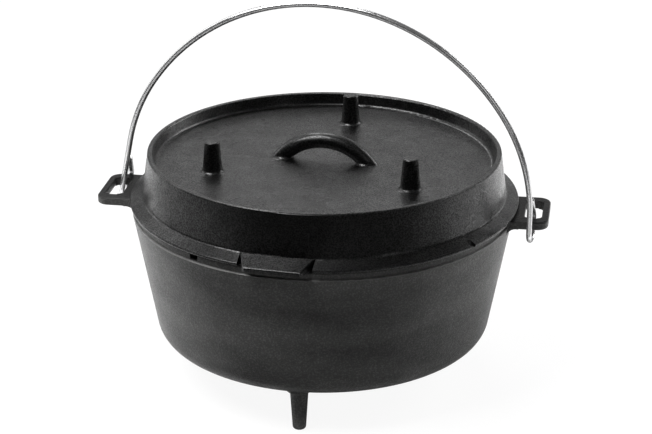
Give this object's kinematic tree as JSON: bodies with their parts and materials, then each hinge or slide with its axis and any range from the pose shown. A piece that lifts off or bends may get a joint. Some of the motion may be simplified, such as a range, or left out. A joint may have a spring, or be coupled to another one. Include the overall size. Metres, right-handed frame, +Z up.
{
  "type": "camp dutch oven",
  "caption": "Cast-iron camp dutch oven: round tapered pot on short legs, deep flanged lid with coal rim, arched handle and studs, and a wire bail hooked onto side ears.",
  "frame": {"origin": "on the ground, under the middle of the pot, at the centre of the ring that the legs stand on", "axes": "+Z up along the pot's axis, +X along the line of the two ears, -Y to the side of the lid's tongue"},
  "size_m": [0.385, 0.3372, 0.3296],
  "materials": {
    "pot_iron": "black seasoned sand casting, satin",
    "lid_iron": "black seasoned sand casting, satin",
    "bail_steel": "bright drawn wire"
  },
  "bodies": {
    "pot": {"pot": "pot_iron"},
    "lid": {"lid": "lid_iron"},
    "bail": {"bail": "bail_steel"}
  },
  "joints": [
    {"name": "bail_swing", "type": "hinge", "parent": "pot", "child": "bail", "pos_m": [0, 0, 0.1513], "axis": [0.9909, -0.1346, 0], "range_deg": [-90, 70]},
    {"name": "lid_lift", "type": "slide", "parent": "pot", "child": "lid", "axis": [0, 0, 1], "range_m": [0, 0.036]}
  ]
}
